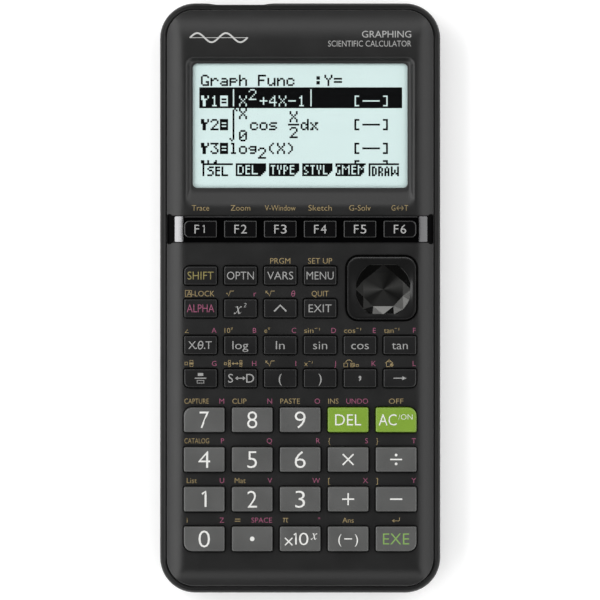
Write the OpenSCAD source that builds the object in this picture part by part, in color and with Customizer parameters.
// Graphing calculator lying on its back, face up, with its display end towards +Y.
// Origin: the centre of its footprint on the table. Millimetres.

/* [Case] */
// Width of the rear case, the widest part
case_w = 83.2; // [83:0.1:84]
// Length of the rear case
case_l = 175; // [174.8:0.1:175.6]
// Corner radius of the rear case seen from above
corner_r = 10.4; // [10:0.1:11]
// Height of the flat front face above the table
face_z = 17; // [17:0.1:17.2]
// Thickness of the front face
face_t = 1.6; // [1.5:0.05:1.6]
// Width of the rear case's rim that shows all round the front case
rim = 2.1; // [2:0.05:2.2]
// Width of the sloping strip along each long side of the front case
slope_side = 5.4; // [5:0.1:5.5]
// Width of the sloping strip at the display end
slope_top = 10.3; // [10:0.1:10.5]
// Width of the sloping strip at the other end
slope_bottom = 6.1; // [6:0.1:6.2]
// How far the sloping strips drop at the edge
slope_drop = 2.4; // [2.2:0.1:2.4]

/* [Display] */
// Visible width of the display
view_w = 63.6; // [63:0.1:64]
// Visible height of the display
view_l = 36.8; // [36:0.1:37]
// Distance from the middle of the case to the middle of the display
view_y = 51.05; // [51:0.05:51.1]
// Depth of the window below the front face
view_depth = 1.3; // [1.1:0.05:1.4]

/* [Function bar] */
// Middle of the function bar along the case
bar_y = 20.4; // [20.3:0.1:20.5]
// Height of the function bar across the face
bar_l = 8.9; // [8.8:0.1:9]
// How far the bar stands above the face
bar_rise = 0.6; // [0.5:0.05:0.6]
// How deep the bar is let into the face
bar_sink = 0.5; // [0.4:0.05:0.5]

/* [Small keys] */
// Spacing of the six columns
small_pitch = 11.8; // [11.7:0.05:11.9]
// Width and length of a black key
small_size = [9.7, 5.5];
// Width and length of a function key
function_size = [9.8, 5.2];
// Middle of each row of black keys
small_rows = [6.65, -3.05, -13.95, -23.75];
// Height of the tops of the black keys
small_top = 18.1; // [18:0.1:18.3]
// Height of the tops of the function keys
function_top = 18.4; // [18.3:0.1:18.5]

/* [Number keys] */
// Spacing of the five columns
number_pitch = 14.2; // [14.1:0.05:14.25]
// Width and length of a number key
number_size = [12.05, 7.33];
// Middle of the first row of number keys
number_row_y = -36.05; // [-36.1:0.05:-36]
// Spacing of the rows of number keys
number_row_pitch = 11.75; // [11.7:0.05:11.8]
// Height of the tops of the number keys, the highest point
number_top = 18.6; // [18.5:0.1:18.8]
// Radius of the corner that each end key of the block has
block_corner_r = 2.4; // [2:0.1:2.6]

/* [Four-way pad] */
// Middle of the pad
pad_at = [24.1, 2.9];
// Width and length of the pad's cap
pad_size = [20.4, 18.6];
// Gap round the cap
pad_gap = 0.5; // [0.4:0.05:0.7]
// Height of the top of the cap
pad_top = 18.4; // [18.2:0.1:18.5]

/* [Battery bay] */
// Diameter of an AAA cell
cell_d = 10.5; // [10.4:0.05:10.5]
// Length of an AAA cell over its terminals
cell_l = 44.5; // [44.3:0.1:44.5]
// Spacing of the four cells
cell_pitch = 10.7; // [10.6:0.05:10.7]
// Where the bay starts, counted from the middle of the case
bay_y = 24.9; // [24.9:0.1:25]

/* [Hidden] */
$fn = 48;
eps = 0.01;

// Heights of the stack, from the table up
foot_h = 0.4;
floor_t = 1.2;
floor_z = foot_h + floor_t;
rim_z = 12.2;
seam_z = 9;
board_z = 8.9;
board_t = 1;
mat_t = 0.8;
mat_z = board_z + board_t;
dome_z = 11.4;
stem_z = 12.4;
flange_z = 14.55;
flange_t = 0.7;
inner_z = face_z - face_t;
edge_z = face_z - slope_drop;
inner_edge_z = edge_z - 0.3;

// Case outline
wall = 1.6;
inner_strip = 1.9;
rear_wall = 1.8;
tuck = 3;
tuck_z = 4.6;
rim_steps = [[2.2, 0], [1.2, 0.25], [0.5, 0.8], [0, 1.6]];
ledge_t = 1.2;
ledge_in = 3.2;
front_w = case_w - 2 * rim;
front_l = case_l - 2 * rim;
front_r = corner_r - rim;

// Keys
key_gap = 0.35;
flange_out = 0.75;
key_r = 0.5;
key_bevel = 0.3;
stem_r = 1.3;
dome_r = 2.4;
pad_r = 3.3;
pad_flange_out = 1.4;
pad_flange_z = 13.6;
pad_disc_r = 7.9;
pad_pivot_z = 12;
pad_ball_r = 1.2;
pad_plunger = 6.2;

// Sockets in the end wall
usb_x = -22.6;
usb_size = [7.7, 8.6, 3.9];
jack_x = -12;
jack_body = [6, 5];
jack_r = 1.27;
jack_l = 11;
jack_z = board_z - jack_body[1] / 2;
socket_front = case_l / 2 - 0.9;
port_dip = [-28.3, -7.5];
dip = 0.45;
dip_ramp = 4;

// Battery bay
bay_wall = 1.2;
bay_half_w = 2 * cell_pitch + 0.2;
bay_l = 50.4;
bay_top = 13;
bay_roof = 0.6;
cell_z = floor_z + 0.2 + cell_d / 2;
cell_y = bay_y + 2.7;
cover_gap = 0.2;
cover_half_w = bay_half_w + 0.8;
cover_y = [bay_y + 0.4, bay_y + bay_l - 0.4];
tab_x = cell_pitch;
tab_w = 7;
notch_w = 14;

// Screws: head and shank, and where they are
screw_r = 1;
screw_head_r = 1.9;
screw_at = [[33, 79.5], [36.2, 15], [33, -80]];
post_r = 2.1;
post_z = 6.4;
post_top = 14.4;
feet_at = [30, 70];
foot_r = 3.2;
restart_at = [12, 4];

F_NAMES = ["key_f1", "key_f2", "key_f3", "key_f4", "key_f5", "key_f6"];
SMALL_NAMES = [
    ["key_shift", "key_optn", "key_vars", "key_menu"],
    ["key_alpha", "key_square", "key_power", "key_exit"],
    ["key_xtheta", "key_log", "key_ln", "key_sin", "key_cos", "key_tan"],
    ["key_fraction", "key_convert", "key_paren_open", "key_paren_close", "key_comma", "key_arrow"]];
NUMBER_NAMES = [
    ["key_7", "key_8", "key_9", "key_del", "key_ac"],
    ["key_4", "key_5", "key_6", "key_times", "key_divide"],
    ["key_1", "key_2", "key_3", "key_plus", "key_minus"],
    ["key_0", "key_dot", "key_exp", "key_negate", "key_exe"]];

// A key is [name, x, y, size, top, corner radii from the upper left clockwise, colour]
function corner(big, r) = big ? r : key_r;
function function_key(i) = [
    F_NAMES[i], (i - 2.5) * small_pitch, bar_y, function_size, function_top,
    [corner(i == 0, 1.6), corner(i == 5, 1.6), corner(i == 5, 1.6), corner(i == 0, 1.6)], "#15161a"];
function small_key(r, i) = [
    SMALL_NAMES[r][i], (i - 2.5) * small_pitch, small_rows[r], small_size, small_top,
    [corner(r == 0 && i == 0, 1.6), key_r, corner(r == 3 && i == 5, 1.6), corner(r == 3 && i == 0, 1.6)],
    "#222222"];
function number_key(r, i) = [
    NUMBER_NAMES[r][i], (i - 2) * number_pitch, number_row_y - r * number_row_pitch, number_size, number_top,
    [corner(r == 0 && i == 0, block_corner_r), corner(r == 0 && i == 4, block_corner_r),
     corner(r == 3 && i == 4, block_corner_r), corner(r == 3 && i == 0, block_corner_r)],
    r == 0 && i > 2 ? "#7fa044" : "#646462"];
function_keys = [for (i = [0:5]) function_key(i)];
small_keys = [for (r = [0:3]) for (i = [0:len(SMALL_NAMES[r]) - 1]) small_key(r, i)];
number_keys = [for (r = [0:3]) for (i = [0:4]) number_key(r, i)];
KEYS = concat(function_keys, small_keys, number_keys);

// Rectangle with a radius for each corner, from the upper left clockwise
module rounded(size, radii) {
    x = size[0] / 2;
    y = size[1] / 2;
    a = radii[0];
    b = radii[1];
    c = radii[2];
    d = radii[3];
    polygon([[a - x, y], [x - b, y], [x, y - b], [x, c - y], [x - c, -y], [d - x, -y], [-x, d - y], [-x, y - a]]);
    translate([a - x, y - a]) circle(r = a);
    translate([x - b, y - b]) circle(r = b);
    translate([x - c, c - y]) circle(r = c);
    translate([d - x, d - y]) circle(r = d);
}

module plate(size, r, z0, z1) {
    translate([0, 0, z0])
        linear_extrude(z1 - z0) rounded(size, [r, r, r, r]);
}

// Outline in X and Z, swept along Y, and outline in Y and Z, swept along X
module along_y(points, length) {
    rotate([90, 0, 0]) linear_extrude(length, center = true) polygon(points);
}
module along_x(points, length) {
    rotate([90, 0, 90]) linear_extrude(length, center = true) polygon(points);
}

// Rounded box whose outline moves in by in0 at its bottom and by in1 at its top
module tapered(size, r, z0, z1, in0, in1) {
    x = size[0] / 2;
    y = size[1] / 2;
    for (sx = [-1, 1])
        for (sy = [-1, 1])
            translate([sx * (x - r), sy * (y - r), z0])
                cylinder(h = z1 - z0, r1 = r - in0, r2 = r - in1);
    along_y([[in0 - x, z0], [x - in0, z0], [x - in1, z1], [in1 - x, z1]], 2 * (y - r));
    along_x([[in0 - y, z0], [y - in0, z0], [y - in1, z1], [in1 - y, z1]], 2 * (x - r));
}

// Both case halves mirrored to the other side
module both_sides() {
    children();
    mirror([1, 0, 0]) children();
}

// Body of the front case from z0 to z1, moved in on its sides. Its strips slope down to the height of edge,
// and are as wide as given along the long sides.
module front_body(side, z0, z1, edge, strip) {
    x = front_w / 2 - side;
    y = front_l / 2 - side;
    intersection() {
        plate([2 * x, 2 * y], front_r - side, z0, z1);
        along_y([[-x, z0], [-x, edge], [strip - x, z1], [x - strip, z1], [x, edge], [x, z0]], case_l);
        along_x([[-y, z0], [-y, edge], [slope_bottom - y, z1], [y - slope_top, z1], [y, edge], [y, z0]], case_w);
    }
}

// Everything that the function bar takes out of the front case, down to the given depth
module bar_band(depth, length) {
    x = front_w / 2 + 0.2 - depth;
    z = face_z + bar_rise - depth;
    e = edge_z + bar_rise - depth;
    z0 = rim_z + 0.2;
    translate([0, bar_y, 0])
        along_y([[-x, z0], [-x, e], [slope_side - x, z], [x - slope_side, z], [x, e], [x, z0]], length);
}

module key_holes(keys, z0, z1) {
    for (k = keys)
        translate([k[1], k[2], z0])
            linear_extrude(z1 - z0)
                rounded(k[3] + [2, 2] * key_gap, [for (r = k[5]) r + key_gap]);
}

module display_recess() {
    bottom = face_z - view_depth;
    top = face_z + 0.1;
    x = view_w / 2;
    y = view_l / 2;
    intersection() {
        along_y([[-x, bottom], [x, bottom], [x + 2.4, top], [-x - 2.4, top]], case_l);
        translate([0, view_y, 0])
            along_x([[-y, bottom], [y, bottom], [y + 2.2, top], [-y - 6.4, top]], case_w);
    }
    translate([0, view_y, 0]) {
        plate([view_w, view_l], 1.3, inner_z - 1, face_z);
        plate([view_w + 3.2, view_l + 3.2], 1.3, inner_z - 1, inner_z + 0.2);
    }
}

module screw_places() {
    both_sides()
        for (p = screw_at)
            translate([p[0], p[1], 0]) children();
}

module front_case() {
    color("#2a2a2a")
        difference() {
            union() {
                difference() {
                    front_body(0, seam_z, face_z, edge_z, slope_side);
                    front_body(wall, seam_z - 1, inner_z, inner_edge_z, inner_strip);
                }
                screw_places() translate([0, 0, post_z]) cylinder(h = post_top - post_z, r = post_r);
            }
            difference() {
                translate([0, bar_y, 0]) cube([case_w, bar_l + 0.1, 2 * case_w], center = true);
                bar_band(bar_rise + bar_sink, case_l);
                translate([-case_w, -case_l, 0]) cube([2 * case_w, 2 * case_l, rim_z + 0.2]);
            }
            key_holes(KEYS, inner_z - eps, face_z + eps);
            translate([pad_at[0], pad_at[1], 0])
                plate(pad_size + [2, 2] * pad_gap, pad_r + pad_gap, inner_z - eps, face_z + eps);
            display_recess();
            screw_places() translate([0, 0, post_z - eps]) cylinder(h = 6, r = screw_r);
        }
}

module rear_outside() {
    tapered([case_w, case_l], corner_r, foot_h, tuck_z, tuck, 0);
    plate([case_w, case_l], corner_r, tuck_z, rim_z - rim_steps[0][0]);
    for (i = [1:3])
        tapered([case_w, case_l], corner_r, rim_z - rim_steps[i - 1][0], rim_z - rim_steps[i][0],
                rim_steps[i - 1][1], rim_steps[i][1]);
}

module rear_inside() {
    tapered([case_w, case_l], corner_r, floor_z, tuck_z + 0.6, tuck + 1.6, rear_wall);
    plate([case_w, case_l] - [2, 2] * rear_wall, corner_r - rear_wall, tuck_z + 0.6, seam_z - ledge_t);
    plate([case_w, case_l] - [2, 2] * ledge_in, corner_r - ledge_in, seam_z - ledge_t - eps, seam_z + eps);
    plate([case_w, case_l] - [2, 2] * rear_wall, corner_r - rear_wall, seam_z, rim_z + 1);
}

module rear_posts() {
    screw_places() translate([0, 0, foot_h]) cylinder(h = post_z - foot_h, r = post_r + 0.3);
    both_sides() {
        for (y = [-62, -30, 2])
            translate([20, y, foot_h]) cylinder(h = board_z - foot_h, r = 2);
        for (s = [-1, 1])
            translate([feet_at[0], s * feet_at[1], 0]) cylinder(h = floor_z, r = foot_r);
    }
}

module bay_block() {
    translate([-bay_half_w - bay_wall, bay_y, foot_h])
        cube([2 * (bay_half_w + bay_wall), bay_l, bay_top - foot_h]);
}

module bay_hollow() {
    translate([-bay_half_w, bay_y + bay_wall, foot_h - 1])
        cube([2 * bay_half_w, bay_l - 2 * bay_wall, bay_top - bay_roof - foot_h + 1]);
    translate([-cover_half_w - cover_gap, cover_y[0] - cover_gap, foot_h - 1])
        cube([2 * (cover_half_w + cover_gap), cover_y[1] - cover_y[0] + 2 * cover_gap, floor_t + 1.15]);
    both_sides()
        translate([tab_x - tab_w / 2 - 0.5, cover_y[0] - 2.2, floor_z])
            cube([tab_w + 1, 4, 1.8]);
}

// How far in the shallow dip over the sockets has gone, along the ramp at each of its ends
function dip_part(t) = (1 - cos(180 * t)) / 2;

module socket_holes() {
    translate([usb_x, case_l / 2, board_z - usb_size[2] / 2])
        rotate([90, 0, 0])
            linear_extrude(6, center = true) rounded([8.6, 4.7], [1, 1, 1, 1]);
    translate([jack_x, case_l / 2, jack_z])
        rotate([90, 0, 0]) cylinder(h = 6, r = 3.4, center = true);
    translate([0, case_l / 2, foot_h + 2])
        linear_extrude(rim_z)
            polygon(concat(
                [[port_dip[1], 1], [port_dip[0], 1]],
                [for (i = [0:6]) [port_dip[0] + dip_ramp * i / 6, -dip * dip_part(i / 6)]],
                [for (i = [0:6]) [port_dip[1] - dip_ramp * (1 - i / 6), -dip * dip_part(1 - i / 6)]]));
    translate([port_dip[0] - 1, case_l / 2 - ledge_in - 1, foot_h + floor_t + 1])
        cube([port_dip[1] - port_dip[0] + 2, 1 + ledge_in - rear_wall, seam_z - foot_h - floor_t - 1]);
}

module rear_case() {
    color("#303030")
        difference() {
            union() {
                difference() {
                    rear_outside();
                    rear_inside();
                }
                rear_posts();
                bay_block();
            }
            bay_hollow();
            socket_holes();
            screw_places() {
                translate([0, 0, foot_h - 1]) cylinder(h = 3.6, r = screw_head_r + 0.25);
                cylinder(h = post_z + 1, r = screw_r + 0.15);
            }
            translate([restart_at[0], restart_at[1], foot_h - 1]) cylinder(h = 4, r = 1.5);
            translate([0, cover_y[1] + 1, foot_h - 1])
                linear_extrude(1.5) rounded([notch_w, 7], [3, 3, 3, 3]);
        }
}

module battery_cover() {
    color("#343434")
        difference() {
            union() {
                translate([-cover_half_w, cover_y[0], foot_h])
                    cube([2 * cover_half_w, cover_y[1] - cover_y[0], floor_t]);
                both_sides() {
                    translate([tab_x - tab_w / 2, cover_y[0], foot_h + eps]) cube([tab_w, 1, 2]);
                    translate([tab_x - tab_w / 2, cover_y[0] - 1.6, floor_z + 0.1]) cube([tab_w, 2, 0.7]);
                }
            }
            for (i = [0:5])
                translate([0, cover_y[1] - 9 + i * 1.2, foot_h])
                    cube([notch_w, 0.5, 0.5], center = true);
        }
}

module display_window() {
    color("#d8e6e4", 0.4)
        translate([0, view_y, 0]) {
            plate([view_w + 3, view_l + 3], 1.2, inner_z - 0.5, inner_z + 0.2);
            plate([view_w - 0.2, view_l - 0.2], 1.2, inner_z + 0.1, face_z - view_depth);
        }
}

module lcd_module() {
    color("#cfe3e1")
        translate([-view_w / 2 - 2.2, view_y - view_l / 2 - 2.2, bay_top + 0.1])
            cube([view_w + 4.4, view_l + 4.4, inner_z - 0.7 - bay_top]);
}

module function_bar() {
    color("#111114")
        difference() {
            bar_band(0, bar_l);
            bar_band(bar_rise + bar_sink, case_l);
            key_holes(function_keys, inner_z, function_top);
        }
}

module key_mat() {
    color("#8a8a8c")
        difference() {
            union() {
                translate([0, -26.6, 0]) plate([71, 101.8], 3, mat_z, mat_z + mat_t);
                for (k = KEYS)
                    translate([k[1], k[2], mat_z]) cylinder(h = dome_z - mat_z, r = dome_r);
                for (a = [0:90:270])
                    translate([pad_at[0], pad_at[1], mat_z])
                        rotate([0, 0, a]) translate([pad_plunger, 0, 0]) cylinder(h = dome_z - mat_z, r = dome_r);
            }
            screw_places() cylinder(h = face_z, r = post_r + 0.4);
        }
}

module circuit_board() {
    arm_x = -front_w / 2 + wall + 0.3;
    bay_x = -bay_half_w - bay_wall - 0.4;
    end_y = front_l / 2 - wall - 0.4;
    color("#2f6b3c")
        difference() {
            union() {
                translate([0, (bay_y - 0.3 - end_y) / 2, 0])
                    plate([-2 * arm_x, bay_y - 0.3 + end_y], front_r - wall, board_z, mat_z);
                translate([arm_x, bay_y - 5, board_z])
                    cube([bay_x - arm_x, end_y - bay_y + 5 - 5, board_t]);
                translate([arm_x + 5, bay_y + bay_l + 0.3, board_z])
                    cube([port_dip[1] + 1 - arm_x - 5, end_y - bay_y - bay_l - 0.3, board_t]);
                translate([restart_at[0], restart_at[1], board_z - 3]) cylinder(h = 3 + eps, r = 1.6);
            }
            screw_places() cylinder(h = face_z, r = post_r + 0.4);
        }
}

module port_sockets() {
    color("#b8bcc0")
        translate([usb_x, socket_front, board_z - usb_size[2] / 2])
            rotate([90, 0, 0])
                difference() {
                    linear_extrude(usb_size[1])
                        polygon([[-3.85, 1.95], [3.85, 1.95], [3.85, 0], [2.95, -1.95], [-2.95, -1.95], [-3.85, 0]]);
                    translate([0, 0, -eps])
                        linear_extrude(6.5)
                            difference() {
                                polygon([[-3.45, 1.55], [3.45, 1.55], [3.45, 0.1], [2.65, -1.55],
                                         [-2.65, -1.55], [-3.45, 0.1]]);
                                translate([-2.4, 0.1]) square([4.8, 0.7]);
                            }
                }
    color("#1c1c1c")
        translate([jack_x, socket_front, jack_z])
            rotate([90, 0, 0])
                difference() {
                    union() {
                        translate([-jack_body[0] / 2, -jack_body[1] / 2, 1]) cube([6, 5, jack_l - 1]);
                        cylinder(h = 1.5, r = jack_body[1] / 2);
                    }
                    translate([0, 0, -eps]) cylinder(h = jack_l - 1, r = jack_r);
                }
}

module cell() {
    rotate([-90, 0, 0]) {
        cylinder(h = cell_l - 1, r = cell_d / 2);
        cylinder(h = cell_l, r = 1.9);
    }
}

module batteries() {
    color("#9a7a3a")
        for (i = [0:3])
            translate([(i - 1.5) * cell_pitch, cell_y + (i % 2) * cell_l, cell_z])
                rotate([0, 0, (i % 2) * 180]) cell();
}

// Conical spring as a stack of rings on a plate, pressed to the length that it has against a cell
module contact(spring) {
    rotate([90, 0, 0]) {
        translate([-4, -4, 1.1]) cube([8, 8, 0.3]);
        if (spring)
            for (i = [0:2])
                translate([0, 0, 0.25 + i * 0.45]) rotate_extrude() translate([2 + i * 0.6, 0]) circle(r = 0.24);
        else
            cylinder(h = 1.2, r = 1.6);
    }
}

module battery_contacts() {
    color("#c8ccd0")
        for (i = [0:3])
            translate([(i - 1.5) * cell_pitch, 0, cell_z]) {
                translate([0, cell_y, 0]) contact(i % 2 == 0);
                translate([0, cell_y + cell_l, 0]) rotate([0, 0, 180]) contact(i % 2 == 1);
            }
}

module case_screws() {
    color("#a8acb0")
        screw_places() {
            difference() {
                translate([0, 0, 1.2]) cylinder(h = 1.75, r = screw_head_r);
                translate([0, 0, 1.2]) {
                    cube([2.4, 0.6, 1.6], center = true);
                    cube([0.6, 2.4, 1.6], center = true);
                }
            }
            translate([0, 0, 2.9]) cylinder(h = 8, r = screw_r - 0.02);
        }
}

// One key: its cap, the flange that holds it in and the stem over its dome
module key(k) {
    uniform = max(k[5]) == min(k[5]);
    color(k[6])
        translate([k[1], k[2], 0]) {
            if (uniform) key_cap(k[3], k[4]);
            else intersection() {
                key_cap(k[3], k[4]);
                translate([0, 0, flange_z]) linear_extrude(k[4]) rounded(k[3], k[5]);
            }
            plate(k[3] + [2, 2] * flange_out, key_r, flange_z, flange_z + flange_t);
            translate([0, 0, stem_z]) cylinder(h = flange_z - stem_z + 0.1, r = stem_r);
        }
}

module key_cap(size, top) {
    plate(size, key_r, flange_z, top - key_bevel);
    tapered(size, key_r, top - key_bevel, top, 0, key_bevel);
}

module dpad_cap() {
    flange = pad_size + [2, 2] * pad_flange_out;
    color("#1a1a1c")
        translate([pad_at[0], pad_at[1], 0]) {
            difference() {
                union() {
                    plate(pad_size, pad_r, pad_flange_z, pad_top - 0.5);
                    tapered(pad_size, pad_r, pad_top - 0.5, pad_top, 0, 0.5);
                }
                translate([0, 0, pad_top - 0.6]) cylinder(h = 1, r = pad_disc_r);
            }
            plate(flange, 7, pad_flange_z, pad_flange_z + flange_t);
            translate([0, 0, pad_top - 0.7]) cylinder(h = 0.6, r = pad_disc_r - 0.3, $fn = 12);
            for (a = [0:90:270])
                rotate([0, 0, a]) translate([pad_plunger, 0, stem_z]) cylinder(h = 1.5, r = stem_r);
        }
}

module dpad_pivot() {
    color("#d0d0cc")
        translate([pad_at[0], pad_at[1], 0]) {
            translate([0, 0, pad_pivot_z]) sphere(r = pad_ball_r);
            translate([0, 0, pad_pivot_z]) cylinder(h = pad_flange_z - pad_pivot_z - 0.2, r = pad_ball_r * 0.7);
            translate([0, 0, pad_flange_z - 0.8]) cylinder(h = 0.6, r = 2.4);
        }
}

rear_case();
front_case();
battery_cover();
display_window();
lcd_module();
function_bar();
key_mat();
circuit_board();
port_sockets();
batteries();
battery_contacts();
case_screws();
dpad_cap();
dpad_pivot();
for (k = KEYS)
    key(k);
